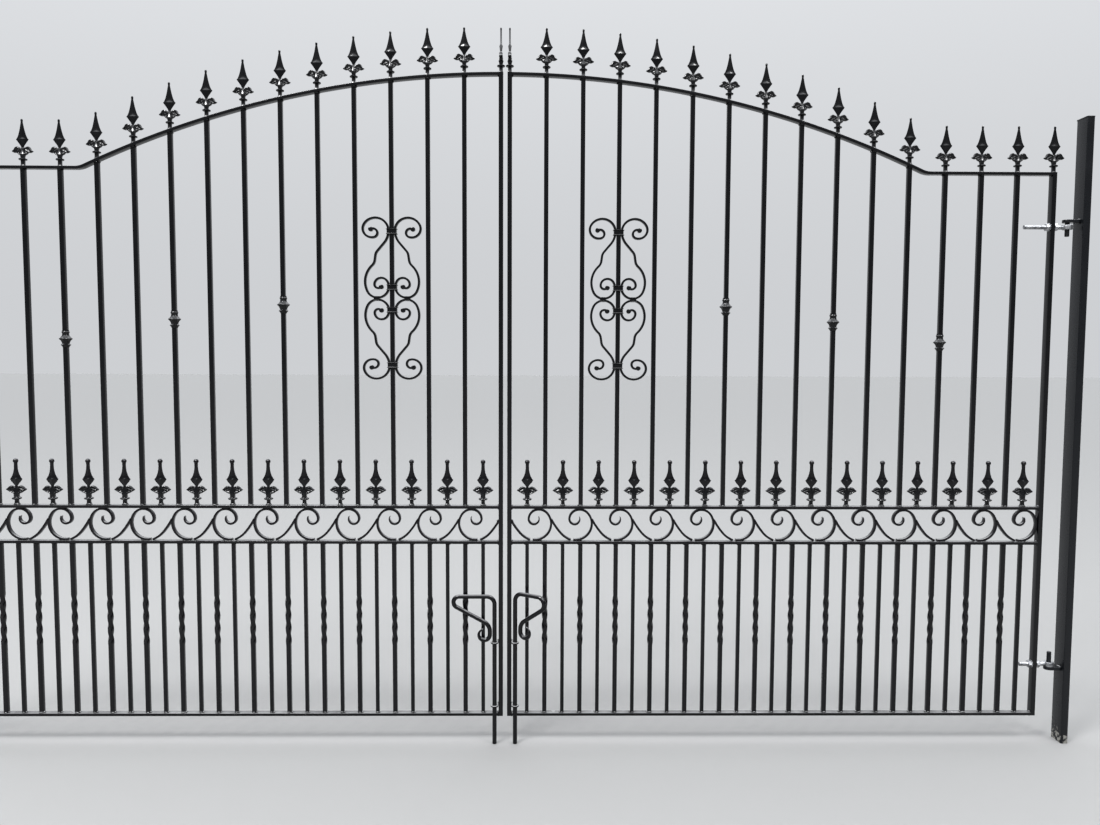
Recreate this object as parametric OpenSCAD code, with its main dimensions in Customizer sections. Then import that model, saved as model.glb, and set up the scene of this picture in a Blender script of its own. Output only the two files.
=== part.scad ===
// Pair of wrought iron driveway gates with an arched top, on two wall posts.
// The gate is seen from the drive side: X runs to the right, Y away from the
// viewer, Z up. Each leaf is drawn once for the right-hand side and mirrored.

/* [Leaf] */
// Spacing of the lower bars, centre to centre
bar_pitch = 50; // [46:1:54]
// Number of bar spaces between the two stiles of a leaf
bay_count = 30; // [26:2:32]
// Clear gap between the two meeting stiles
meeting_gap = 12; // [10:1:20]
// Underside of the bottom rail above the ground
ground_gap = 76; // [60:2:120]
// Height of the centre of the rail under the scroll band
band_rail_z = 575; // [520:5:620]
// Height of the centre of the level part of the top rail
shoulder_z = 1605; // [1575:5:1650]
// Rise of the arch from the level part to the crown
arch_rise = 258; // [230:2:280]
// Radius of the arch, to the centre of the top rail
arch_radius = 2720; // [2500:10:3000]
// Radius of the bend where the arch meets the level part
bend_radius = 60; // [40:5:90]

/* [Sections] */
// Height of the flat bar that the rails are made from
rail_height = 8; // [6:1:10]
// Depth of the rails and stiles, front to back
frame_depth = 20; // [18:1:25]
// Width of the stiles, seen from the front
stile_width = 12; // [10:1:14]
// Side of the square main bars
main_bar = 12; // [10:1:14]
// Side of the thinner bars between them
thin_bar = 10; // [8:1:12]
// Length of the twisted stretch of the lower main bars
twist_length = 144; // [96:8:176]
// Height of the middle of the twisted stretch
twist_z = 352; // [300:4:400]

/* [Scrolls] */
// Thickness of the scroll bar, seen from the front
scroll_bar = 6; // [5:0.5:7]
// Depth of the scroll bar, front to back
scroll_depth = 12; // [10:1:16]
// Bar that carries the pair of lyre scrolls, counted from the meeting stile
lyre_bay = 6; // [4:2:10]
// Height of the middle of the lyre scrolls
lyre_z = 1264; // [1200:4:1300]

/* [Heads] */
// Height of a spear head above its rail
head_height = 120; // [110:2:130]
// Width of the leaves of a spear head
head_width = 53; // [48:1:56]
// Thickness of the cast leaves of a spear head
head_depth = 9; // [8:0.5:11]
// Every so many bars an upper bar carries a knuckle
knuckle_step = 6; // [4:2:8]

/* [Posts and hinges] */
// Height of a post above the ground
post_height = 1755; // [1705:10:1905]
// Width of a post, seen from the front
post_width = 20; // [20:1:50]
// Depth of a post, front to back
post_depth = 50; // [50:1:80]
// Wall thickness of the post tube
post_wall = 3; // [2:0.5:4]
// Height of the lower hinge above the ground
lower_hinge_z = 224; // [200:4:300]
// Height of the upper hinge above the ground
upper_hinge_z = 1460; // [1400:4:1520]
// Distance from the centre of the hanging stile to the hinge pin
stile_to_pin = 45; // [42:1:60]
// Distance from the hinge pin to the face of the post
pin_to_post = 30; // [28:1:40]
// Diameter of the hinge pins
pin_diameter = 12; // [12:1:18]
// Diameter of the threaded rods that carry the hinge eyes
eye_rod_diameter = 12; // [10:1:12]

/* [Drop bolts] */
// Diameter of the drop bolts
bolt_diameter = 12; // [10:1:12]
// Distance from the centre of the meeting stile to the drop bolt
bolt_inset = 17; // [17:1:22]
// Distance of the drop bolt in front of the bars
bolt_forward = 20; // [20:1:26]
// Height of the top of the drop bolt's handle, when it is down
handle_z = 420; // [400:5:460]
// Height of the upper guide of the drop bolt
upper_guide_z = 288; // [220:4:292]
// Height of the lower guide of the drop bolt
lower_guide_z = 110; // [105:5:140]
// Turn of the right-hand handle towards the viewer, about its rod
right_handle_turn = 40; // [0:1:60]
// Extra height of the right-hand handle, above the left-hand one
right_handle_rise = 8; // [0:1:12]

/* [Hidden] */

iron = "#15171a";
zinc = "#b9bdc2";

// Places across the gate, from its centre line
meeting_x = (meeting_gap + stile_width) / 2;
hanging_x = meeting_x + bay_count * bar_pitch;
pin_x = hanging_x + stile_to_pin;
post_face_x = pin_x + pin_to_post;
post_x = post_face_x + post_width / 2;
rail_start = meeting_x + stile_width / 2;
rail_end = hanging_x - stile_width / 2;
rail_length = rail_end - rail_start;
bolt_x = meeting_x + bolt_inset;

// Size of the running scrolls: a whole number of them fills the band, and the
// band is as high as they are
scroll_width = 114.5;
scroll_rise = 86;
scroll_count = round(rail_length / scroll_width);
scroll_pitch = rail_length / scroll_count;
scroll_scale = scroll_pitch / scroll_width;
band_height = scroll_rise * scroll_scale + scroll_bar;

// Heights above the ground
bottom_rail_z = ground_gap + rail_height / 2;
upper_band_z = band_rail_z + band_height + rail_height;
crown_z = shoulder_z + arch_rise;
arch_centre_z = crown_z - arch_radius;

// Centre of the bend between the arch and the level part, and its two ends
bend_z = shoulder_z + bend_radius;
bend_x = sqrt(pow(arch_radius + bend_radius, 2) - pow(bend_z - arch_centre_z, 2));
bend_angle = asin(bend_x / (arch_radius + bend_radius));

// Small clearances
bolt_clearance = 0.1;
pin_clearance = 0.1;
rod_clearance = 0.3;
eye_gap = 0.5;

function bar_x(bay) = meeting_x + bay * bar_pitch;

// Left-hand normal of a line of points at point i
function normal_at(path, i) =
    let (ahead = path[min(i + 1, len(path) - 1)],
         behind = path[max(i - 1, 0)],
         along = (ahead - behind) / norm(ahead - behind))
    [-along.y, along.x];

// Outline of a bar of the given thickness bent along a line of points
function ribbon(path, thickness) = concat(
    [for (i = [0:len(path) - 1]) path[i] + normal_at(path, i) * thickness / 2],
    [for (i = [len(path) - 1:-1:0]) path[i] - normal_at(path, i) * thickness / 2]
);

// Points along a bent bar, from a start point and heading, through strokes that
// are each a length and the angle that the bar turns through along it
function stroke_points(start, heading, strokes, turn_step) =
    let (length = strokes[0][0], turn = strokes[0][1],
         steps = max(1, ceil(abs(turn) / turn_step)),
         chord = length / steps * sinc(turn / steps / 2),
         headings = [for (i = [0:steps - 1]) heading + turn * (i + 0.5) / steps],
         run = running_sum(start, [for (h = headings) chord * [cos(h), sin(h)]]))
    len(strokes) == 1 ? run : concat(
        [for (i = [0:steps - 1]) run[i]],
        stroke_points(run[steps], heading + turn, [for (i = [1:len(strokes) - 1]) strokes[i]],
                      turn_step)
    );

function sinc(angle) = angle == 0 ? 1 : sin(angle) / (angle * PI / 180);

function running_sum(start, moves) = [
    for (i = 0, p = start; i <= len(moves); p = i < len(moves) ? p + moves[i] : p, i = i + 1) p
];

// Closed surface through rings of equal length, with flat ends
module loft(rings) {
    sides = len(rings[0]);
    last = len(rings) - 1;
    points = [for (ring = rings) each ring];
    walls = [
        for (k = [0:last - 1]) for (i = [0:sides - 1]) let (j = (i + 1) % sides)
            each [
                [k * sides + i, (k + 1) * sides + i, (k + 1) * sides + j],
                [k * sides + i, (k + 1) * sides + j, k * sides + j]
            ]
    ];
    foot = [for (i = [0:sides - 1]) i];
    top = [for (i = [sides - 1:-1:0]) last * sides + i];
    polyhedron(points, concat([foot], walls, [top]));
}

// A flat shape drawn in X and Z, given a depth about the plane of the gate
module upright(depth) {
    rotate([90, 0, 0]) linear_extrude(depth, center = true) children();
}

// Puts a piece in the gate's frame, with the origin under the right-hand post
module on_right() {
    translate([-post_x, 0, 0]) children();
}

module on_left() {
    translate([-post_x, 0, 0]) mirror([1, 0, 0]) children();
}

// Everything under the line of the top rail, raised or lowered by an offset
module under_top_line(offset_z, depth) {
    arch_r = arch_radius + offset_z;
    fillet_r = bend_radius - offset_z;
    level_z = shoulder_z + offset_z;
    tangent = [arch_r * sin(bend_angle), arch_centre_z + arch_r * cos(bend_angle)];
    below = band_rail_z;
    intersection() {
        translate([0, depth / 2, arch_centre_z])
            rotate([90, 0, 0]) cylinder(h = depth, r = arch_r, $fn = 360);
        translate([-bar_pitch, -depth, below])
            cube([bend_x + bar_pitch, 2 * depth, crown_z]);
    }
    translate([0, -depth / 2, below])
        cube([hanging_x + bar_pitch, depth, level_z - below]);
    difference() {
        upright(depth)
            polygon([tangent, [tangent.x, level_z - bend_radius],
                     [bend_x, level_z - bend_radius], [bend_x, level_z]]);
        translate([bend_x, depth, bend_z])
            rotate([90, 0, 0]) cylinder(h = 2 * depth, r = fillet_r, $fn = 96);
    }
}

module post() {
    color(iron) difference() {
        translate([post_face_x, -post_depth / 2, 0])
            cube([post_width, post_depth, post_height]);
        translate([post_face_x + post_wall, post_wall - post_depth / 2, post_wall])
            cube([post_width - 2 * post_wall, post_depth - 2 * post_wall, post_height]);
    }
}

// Flat cap that overhangs the tube a little, with a plug that fits inside it
cap_height = 3;
cap_overhang = 1;
plug_depth = 12;
plug_clearance = 0.2;

module post_cap() {
    inset = post_wall + plug_clearance;
    color(iron) {
        translate([post_face_x - cap_overhang, -post_depth / 2 - cap_overhang, post_height])
            cube([post_width + cap_overhang, post_depth + 2 * cap_overhang, cap_height]);
        translate([post_face_x + inset, inset - post_depth / 2, post_height - plug_depth])
            cube([post_width - 2 * inset, post_depth - 2 * inset, plug_depth]);
    }
}

// Hook that is welded to the post: a flat arm with an upright pin. The eye rests
// on the lower hook. The upper hook points down, with some play above the eye, so
// that the leaf can't be lifted off.
hook_arm_width = 27;
hook_arm_height = 8;
eye_height = 13;
upper_hook_gap = 6;
upper_pin_length = 42;
lower_pin_length = 47;

module hinge_hook(z, way, gap, pin_length) {
    arm_z = z - way * (eye_height / 2 + gap + hook_arm_height / 2);
    color(iron) {
        translate([pin_x, 0, arm_z])
            cylinder(h = hook_arm_height, d = hook_arm_width, center = true, $fn = 48);
        translate([pin_x + pin_to_post / 2, 0, arm_z])
            cube([pin_to_post, hook_arm_width, hook_arm_height], center = true);
        translate([pin_x, 0, arm_z + way * pin_length / 2])
            cylinder(h = pin_length, d = pin_diameter, center = true, $fn = 48);
    }
}

module upper_hook() {
    hinge_hook(upper_hinge_z, -1, upper_hook_gap, upper_pin_length);
}

module lower_hook() {
    hinge_hook(lower_hinge_z, 1, eye_gap, lower_pin_length);
}

// Threaded rod through the hanging stile, with an eye round the hinge pin
eye_diameter = 27;
nut_width = 19;
nut_height = 10;

module hinge_eye(z, tail) {
    rod_start = hanging_x - stile_width / 2 - nut_height - tail;
    translate([0, 0, z]) {
        difference() {
            union() {
                translate([pin_x, 0, 0])
                    cylinder(h = eye_height, d = eye_diameter, center = true, $fn = 64);
                translate([rod_start, 0, 0]) rotate([0, 90, 0])
                    cylinder(h = pin_x - rod_start, d = eye_rod_diameter, $fn = 32);
            }
            translate([pin_x, 0, 0])
                cylinder(h = eye_height * 2, d = pin_diameter + 2 * pin_clearance,
                         center = true, $fn = 64);
        }
        for (x = [hanging_x - stile_width / 2 - nut_height, hanging_x + stile_width / 2])
            translate([x, 0, 0]) rotate([0, 90, 0])
                cylinder(h = nut_height, d = nut_width / cos(30), $fn = 6);
    }
}

upper_rod_tail = 60;
lower_rod_tail = 25;

module hinge_eyes() {
    color(zinc) {
        hinge_eye(upper_hinge_z, upper_rod_tail);
        hinge_eye(lower_hinge_z, lower_rod_tail);
    }
}

module hanging_stile() {
    height = shoulder_z + rail_height / 2 - ground_gap;
    color(iron) difference() {
        translate([hanging_x - stile_width / 2, -frame_depth / 2, ground_gap])
            cube([stile_width, frame_depth, height]);
        for (z = [lower_hinge_z, upper_hinge_z])
            translate([hanging_x - stile_width, 0, z]) rotate([0, 90, 0])
                cylinder(h = 2 * stile_width, d = eye_rod_diameter + 2 * rod_clearance,
                         $fn = 32);
    }
}

module meeting_stile() {
    height = crown_z + rail_height / 2 - ground_gap;
    color(iron)
        translate([meeting_x - stile_width / 2, -frame_depth / 2, ground_gap])
            cube([stile_width, frame_depth, height]);
}

module level_rail(z) {
    color(iron)
        translate([rail_start, -frame_depth / 2, z - rail_height / 2])
            cube([rail_length, frame_depth, rail_height]);
}

module top_rail() {
    color(iron) intersection() {
        difference() {
            under_top_line(rail_height / 2, frame_depth);
            under_top_line(-rail_height / 2, 2 * frame_depth);
        }
        translate([rail_start, -frame_depth, band_rail_z + rail_height])
            cube([rail_length, 2 * frame_depth, crown_z]);
    }
}

// Square lower bar with one full turn twisted into the middle of it
twist_steps = 12;

module twisted_bar(bottom, top) {
    twist_start = twist_z - twist_length / 2;
    corner = main_bar / sqrt(2);
    function ring(z, turn) = [
        for (i = [0:3]) [corner * cos(45 + 90 * i + turn), corner * sin(45 + 90 * i + turn), z]
    ];
    turned = [
        for (i = [0:twist_steps])
            ring(twist_start + twist_length * i / twist_steps, 360 * i / twist_steps)
    ];
    loft(concat([ring(bottom, 0)], turned, [ring(top, 0)]));
}

module twisted_bars() {
    bottom = ground_gap + rail_height;
    top = band_rail_z - rail_height / 2;
    color(iron) for (bay = [2:2:bay_count - 1])
        translate([bar_x(bay), 0, 0]) twisted_bar(bottom, top);
}

module thin_bars() {
    bottom = ground_gap + rail_height;
    height = band_rail_z - rail_height / 2 - bottom;
    color(iron) for (bay = [1:2:bay_count - 1])
        translate([bar_x(bay) - thin_bar / 2, -thin_bar / 2, bottom])
            cube([thin_bar, thin_bar, height]);
}

module upper_bars() {
    bottom = upper_band_z + rail_height / 2;
    color(iron) intersection() {
        for (bay = [2:2:bay_count - 1])
            translate([bar_x(bay) - main_bar / 2, -main_bar / 2, bottom])
                cube([main_bar, main_bar, crown_z - bottom]);
        under_top_line(-rail_height / 2, frame_depth);
    }
}

// Running scroll of the left-hand leaf, seen from the front: a spiral from its
// inner hook round to the rail below, then a tail up to the next spiral.
// Measured from the outermost point of the spiral and the top of the rail below.
spiral_start = [35.2, 65.5];
spiral_heading = 244.5;
spiral_strokes = [[53.6, 208.4], [34.9, 73], [35.9, 65], [109, 137]];
tail_start = [59.5, 0];
tail_heading = 21.3;
tail_strokes = [[36.3, 28.2], [45.2, 12.1]];

function scaled(strokes, factor) = [for (s = strokes) [s[0] * factor, s[1]]];

module running_scroll() {
    foot = [scroll_bar / 2, scroll_bar / 2];
    spiral = stroke_points(foot + spiral_start * scroll_scale, spiral_heading,
                           scaled(spiral_strokes, scroll_scale), 12);
    tail = stroke_points(foot + tail_start * scroll_scale, tail_heading,
                         scaled(tail_strokes, scroll_scale), 12);
    polygon(ribbon(spiral, scroll_bar));
    polygon(ribbon(tail, scroll_bar));
}

module scroll_band() {
    floor_z = band_rail_z + rail_height / 2;
    color(iron) upright(scroll_depth) intersection() {
        for (i = [0:scroll_count - 1])
            translate([rail_end - i * scroll_pitch, floor_z]) mirror([1, 0]) running_scroll();
        translate([rail_start, floor_z]) square([rail_length, band_height]);
    }
}

// One side of the upper lyre scroll, from the end of its top curl to the end of
// its belly curl, in from the bar's centre line and up from the lyre's middle
lyre_start = [48.8, 193.5];
lyre_heading = 149.5;
lyre_strokes = [
    [42, 196], [57, 132], [93.2, 149.1],
    [38.7, 41.4], [30, 3], [14, -33], [15, 0], [16, 38],
    [79.5, -70.5], [100.9, -186.4], [48.6, -147.9], [26, -140]
];
lyre_belly_x = 43;
rolled_end = 13;
lyre_clip_z = [32, 190];

module lyre_side() {
    beside_bar = [(main_bar + scroll_bar) / 2, scroll_bar / 2];
    path = stroke_points(beside_bar + lyre_start, lyre_heading, lyre_strokes, 15);
    polygon(ribbon(path, scroll_bar));
    for (end = [path[0], path[len(path) - 1]]) translate(end) circle(d = rolled_end, $fn = 16);
}

clip_height = 18;
clip_thickness = 3;
clip_width = 30;
belly_clip_width = 16;
belly_clip_height = 18;

module lyre_clips(x, z, width, height) {
    for (side = [-1, 1])
        translate([x, side * (scroll_depth + clip_thickness) / 2, z])
            cube([width, clip_thickness, height], center = true);
}

module lyre_scrolls() {
    color(iron) translate([bar_x(lyre_bay), 0, lyre_z]) {
        for (flip = [0, 1]) mirror([0, 0, flip]) {
            for (side = [0, 1]) mirror([side, 0, 0]) upright(scroll_depth) lyre_side();
            for (z = lyre_clip_z) lyre_clips(0, z, clip_width, clip_height);
        }
        for (side = [-1, 1])
            lyre_clips(side * lyre_belly_x, 0, belly_clip_width,
                       belly_clip_height);
    }
}

// Cast knuckle: a barrel on the bar with three tiers of leaves that open upwards,
// each given by the height of its rim and by the rim's radius
knuckle_height = 48;
knuckle_radius = 9.6;
tier_height = 8;
knuckle_tiers = [[-17, 13.5], [0, 18], [18, 10.6]];

module knuckle() {
    difference() {
        union() {
            cylinder(h = knuckle_height, r = knuckle_radius, center = true, $fn = 24);
            for (tier = knuckle_tiers)
                translate([0, 0, tier[0] - tier_height])
                    cylinder(h = tier_height, r1 = knuckle_radius, r2 = tier[1], $fn = 24);
        }
        cube([main_bar, main_bar, 2 * knuckle_height], center = true);
    }
}

// Heights of the knuckles: they step down with the arch
first_knuckle_bay = 12;
knuckle_z = [1237, 1196, 1141];

module knuckles() {
    color(iron) for (i = [0:len(knuckle_z) - 1])
        translate([bar_x(first_knuckle_bay + knuckle_step * i), 0, knuckle_z[i]]) knuckle();
}

// Cast spear head, drawn on its own foot at the origin
collar_z = 16;
collar_height = 4;
collar_radius = 9.5;
stem_radius = 5;
leaf_z = 26;
leaf_overlap = 10;
blade_z = 44;
blade_width = 31;
band_knob = 10;

module head_stem(drop) {
    translate([0, 0, -drop]) cylinder(h = leaf_z + leaf_overlap + drop, r = stem_radius, $fn = 24);
}

module head_body() {
    translate([0, 0, collar_z]) cylinder(h = collar_height, r = collar_radius, $fn = 32);
    upright(head_depth) head_leaves();
    spear();
}

// Pair of leaves that droop to a point on each side. Their outline is measured in
// from the tip of a leaf and up from the foot of the leaves.
leaf_outline = [[4, 7], [0, 11], [6, 17], [10, 22], [15, 23], [21, 18]];
leaf_foot = [[0, 0], [7, 0], [11, 4]];
leaf_rise = 22;

module head_leaves() {
    outer = [for (p = leaf_outline) [head_width / 2 - p.x, p.y]];
    for (side = [0, 1]) mirror([side, 0]) translate([0, leaf_z])
        polygon(concat(leaf_foot, outer, [[0, leaf_rise]]));
}

// Four-sided spear with hollow flanks. Each ring is a share of the spear's height
// and a share of its half width.
spear_rings = [[0, 0.3], [0.09, 0.2], [0.38, 1], [0.6, 0.52], [0.87, 0.2], [1, 0.06]];

module spear() {
    half_width = blade_width / 2;
    half_depth = head_depth / 2;
    loft([
        for (r = spear_rings) [
            for (i = [0:3])
                [r[1] * half_width * cos(90 * i), r[1] * half_depth * sin(90 * i),
                 blade_z + r[0] * (head_height - blade_z)]
        ]
    ]);
}

module spear_heads() {
    hanging_top = shoulder_z + rail_height / 2;
    color(iron) {
        difference() {
            for (bay = [2:2:bay_count - 1])
                translate([bar_x(bay), 0, top_line_z(bar_x(bay))]) head_stem(2 * rail_height);
            under_top_line(rail_height / 2, 2 * frame_depth);
        }
        for (bay = [2:2:bay_count - 1])
            translate([bar_x(bay), 0, top_line_z(bar_x(bay))]) head_body();
        translate([hanging_x, 0, hanging_top]) {
            head_stem(0);
            head_body();
        }
        translate([meeting_x, 0, crown_z + rail_height / 2]) rotate([0, 0, 90]) {
            head_stem(0);
            head_body();
        }
    }
}

// Height of the top of the top rail at a distance from the centre line
function top_line_z(x) =
    let (rise = pow(arch_radius + rail_height / 2, 2) - x * x)
    max(shoulder_z + rail_height / 2, arch_centre_z + sqrt(rise));

module band_heads() {
    color(iron) for (bay = [1:2:bay_count - 1])
        translate([bar_x(bay), 0, upper_band_z + rail_height / 2]) {
            head_stem(0);
            head_body();
            translate([0, 0, head_height]) sphere(d = band_knob, $fn = 16);
        }
}

// Rings of bent bar round the drop bolt. The end of each one runs back along the
// side of the meeting stile, and is welded to it.
guide_bar = 5;
guide_arm_end = 3;

module bolt_guide() {
    ring_radius = bolt_diameter / 2 + bolt_clearance + guide_bar;
    arm_start = meeting_x + stile_width / 2;
    difference() {
        union() {
            translate([bolt_x, -bolt_forward, 0])
                cylinder(h = guide_bar, r = ring_radius, center = true, $fn = 48);
            translate([arm_start, -bolt_forward, -guide_bar / 2])
                cube([guide_bar, bolt_forward + guide_arm_end, guide_bar]);
        }
        translate([bolt_x, -bolt_forward, 0])
            cylinder(h = 2 * guide_bar, d = bolt_diameter + 2 * bolt_clearance, center = true,
                     $fn = 48);
    }
}

module bolt_guides() {
    color(iron) for (z = [lower_guide_z, upper_guide_z]) translate([0, 0, z]) bolt_guide();
}

// Drop bolt: one round rod, bent at the top into a loop that ends in a curl
handle_reach = 115;
handle_corner = 22;
nose_radius = 14;
nose_slope = 28.7;
throat_radius = 30;
throat_length = 11;
slope_length = 90;
curl_radius = 15.5;
curl_turn = 260;
bolt_sides = 12;

function arc_length(radius, turn) = radius * turn * PI / 180;

// Round bar along a line of points in X and Z
module round_bar(path, diameter, sides) {
    r = diameter / 2;
    loft([
        for (i = [0:len(path) - 1]) let (side = normal_at(path, i)) [
            for (k = [0:sides - 1]) let (a = 360 * k / sides)
                [path[i].x + r * cos(a) * side.x, -r * sin(a), path[i].y + r * cos(a) * side.y]
        ]
    ]);
}

module drop_bolt(turn, rise) {
    back = 180 - nose_slope;
    strokes = [
        [handle_z + rise - handle_corner, 0],
        [arc_length(handle_corner, 90), -90],
        [handle_reach - handle_corner - nose_radius, 0],
        [arc_length(nose_radius, back), -back],
        [slope_length, 0],
        [arc_length(throat_radius, 90 - nose_slope), 90 - nose_slope],
        [throat_length, 0],
        [arc_length(curl_radius, curl_turn), curl_turn]
    ];
    path = stroke_points([0, 0], 90, strokes, 15);
    color(iron) translate([bolt_x, -bolt_forward, 0]) rotate([0, 0, -turn])
        round_bar(path, bolt_diameter, bolt_sides);
}

on_right() post();  // right_post
on_right() post_cap();  // right_post_cap
on_right() upper_hook();  // right_top_hinge_hook
on_right() lower_hook();  // right_bottom_hinge_hook
on_right() hanging_stile();  // right_hanging_stile
on_right() meeting_stile();  // right_meeting_stile
on_right() level_rail(bottom_rail_z);  // right_bottom_rail
on_right() level_rail(band_rail_z);  // right_lower_band_rail
on_right() level_rail(upper_band_z);  // right_upper_band_rail
on_right() top_rail();  // right_top_rail
on_right() twisted_bars();  // right_twisted_bars
on_right() thin_bars();  // right_thin_bars
on_right() upper_bars();  // right_upper_bars
on_right() scroll_band();  // right_scroll_band
on_right() lyre_scrolls();  // right_lyre_scrolls
on_right() knuckles();  // right_knuckles
on_right() spear_heads();  // right_spear_heads
on_right() band_heads();  // right_band_heads
on_right() hinge_eyes();  // right_hinge_eyes
on_right() bolt_guides();  // right_bolt_guides
on_right() drop_bolt(right_handle_turn, right_handle_rise);  // right_drop_bolt
on_left() post();  // left_post
on_left() post_cap();  // left_post_cap
on_left() upper_hook();  // left_top_hinge_hook
on_left() lower_hook();  // left_bottom_hinge_hook
on_left() hanging_stile();  // left_hanging_stile
on_left() meeting_stile();  // left_meeting_stile
on_left() level_rail(bottom_rail_z);  // left_bottom_rail
on_left() level_rail(band_rail_z);  // left_lower_band_rail
on_left() level_rail(upper_band_z);  // left_upper_band_rail
on_left() top_rail();  // left_top_rail
on_left() twisted_bars();  // left_twisted_bars
on_left() thin_bars();  // left_thin_bars
on_left() upper_bars();  // left_upper_bars
on_left() scroll_band();  // left_scroll_band
on_left() lyre_scrolls();  // left_lyre_scrolls
on_left() knuckles();  // left_knuckles
on_left() spear_heads();  // left_spear_heads
on_left() band_heads();  // left_band_heads
on_left() hinge_eyes();  // left_hinge_eyes
on_left() bolt_guides();  // left_bolt_guides
on_left() drop_bolt(0, 0);  // left_drop_bolt
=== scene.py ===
import math

import bpy
import numpy as np
from mathutils import Matrix, Vector


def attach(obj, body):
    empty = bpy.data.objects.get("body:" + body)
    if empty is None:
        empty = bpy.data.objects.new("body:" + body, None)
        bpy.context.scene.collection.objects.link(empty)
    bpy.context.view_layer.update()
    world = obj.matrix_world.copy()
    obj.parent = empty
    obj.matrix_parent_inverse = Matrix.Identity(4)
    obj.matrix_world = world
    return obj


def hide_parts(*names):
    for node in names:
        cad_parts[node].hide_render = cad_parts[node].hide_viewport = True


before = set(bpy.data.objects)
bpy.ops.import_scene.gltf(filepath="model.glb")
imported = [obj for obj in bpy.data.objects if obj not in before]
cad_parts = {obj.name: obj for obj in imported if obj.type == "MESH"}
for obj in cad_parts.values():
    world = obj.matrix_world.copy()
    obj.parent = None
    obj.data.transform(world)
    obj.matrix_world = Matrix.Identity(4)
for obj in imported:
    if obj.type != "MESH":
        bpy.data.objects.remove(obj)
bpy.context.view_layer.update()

# The two posts are lengths of rectangular steel tube, standing on their cut
# ends at the two sides of the opening. A flat plate is welded over each one.
# Every piece is drawn for the right-hand side, and mirrored for the left.
hands = ((1, "right"), (-1, "left"))
post_centre = 1597.0
post_size = (20.0, 50.0, 1755.0)
post_corner = 2.5
cap_overhang = 1.0
cap_height = 3.0
cap_corner = 2.0


def rounded_ring(width, depth, corner, steps=4):
    """Rectangle with quarter-circle corners: a corner's points are its centre plus
    the radius times (cos a, sin a), for a through a quarter turn."""
    turns = np.arange(4)[:, None] * 90.0
    a = np.radians(turns + np.linspace(0.0, 90.0, steps + 1)[None, :])
    centre_x = (width / 2 - corner) * np.array([1, -1, -1, 1])[:, None]
    centre_y = (depth / 2 - corner) * np.array([1, 1, -1, -1])[:, None]
    x = centre_x + corner * np.cos(a)
    y = centre_y + corner * np.sin(a)
    return np.stack([x.ravel(), y.ravel()], 1)


def stacked(ring, heights, scales=None):
    """The same ring at each height, each one scaled by its own factor."""
    scales = np.ones(len(heights)) if scales is None else np.asarray(scales, float)
    flat = ring[None, :, :] * scales[:, None, None]
    z = np.broadcast_to(np.asarray(heights, float)[:, None, None], flat.shape[:2] + (1,))
    return np.concatenate([flat, z], 2)


def skin(rings):
    """Quads between neighbouring points of neighbouring rings, and a flat end cap
    over the first and the last ring. Rings run anticlockwise seen from the end."""
    rows, points = rings.shape[:2]
    row = np.arange(rows - 1)[:, None] * points
    here = np.arange(points)[None, :]
    beside = (here + 1) % points
    walls = np.stack([row + here, row + beside, row + points + beside, row + points + here], 2)
    foot = np.arange(points)[::-1]
    top = (rows - 1) * points + np.arange(points)
    return rings.reshape(-1, 3), walls.reshape(-1, 4), [foot, top]


def mirrored(made, side):
    """The right-hand shape, or its mirror image with its faces turned round."""
    points, walls, caps = made
    if side > 0:
        return made
    return points * [-1, 1, 1], walls[:, ::-1], [cap[::-1] for cap in caps]


def piece(name, body, shapes, material, stands_for=(), side=1, smooth=35.0):
    """One object out of many skins in millimetres from the gate's centre line,
    written in metres in the frame of the right-hand post."""
    loops, starts, points, base = [], [], [], 0
    for made in shapes:
        at, walls, caps = mirrored(made, side)
        loops += [(walls + base).ravel()] + [cap + base for cap in caps]
        starts += [np.full(len(walls), 4)] + [np.array([len(cap)]) for cap in caps]
        points.append(at)
        base += len(at)
    at = (np.concatenate(points) - [post_centre, 0.0, 0.0]) / 1000.0
    corners = np.concatenate(loops).astype(np.int32)
    sizes = np.concatenate(starts).astype(np.int32)
    mesh = bpy.data.meshes.new(name)
    mesh.vertices.add(len(at))
    mesh.vertices.foreach_set("co", at.astype(np.float32).ravel())
    mesh.loops.add(len(corners))
    mesh.loops.foreach_set("vertex_index", corners)
    mesh.polygons.add(len(sizes))
    firsts = np.concatenate([[0], np.cumsum(sizes)[:-1]]).astype(np.int32)
    mesh.polygons.foreach_set("loop_start", firsts)
    mesh.update(calc_edges=True)
    mesh.shade_smooth()
    mesh.set_sharp_from_angle(angle=math.radians(smooth))
    mesh.materials.append(material)
    made = bpy.data.objects.new(name, mesh)
    bpy.context.scene.collection.objects.link(made)
    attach(made, body)
    if stands_for:
        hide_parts(*stands_for)
    return made


def add_node(material, kind, **inputs):
    """A new node of a material, with its inputs set by name. An underscore in an
    input's name stands for a space."""
    node = material.node_tree.nodes.new("ShaderNode" + kind)
    for name, value in inputs.items():
        node.inputs[name.replace("_", " ")].default_value = value
    return node


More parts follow.
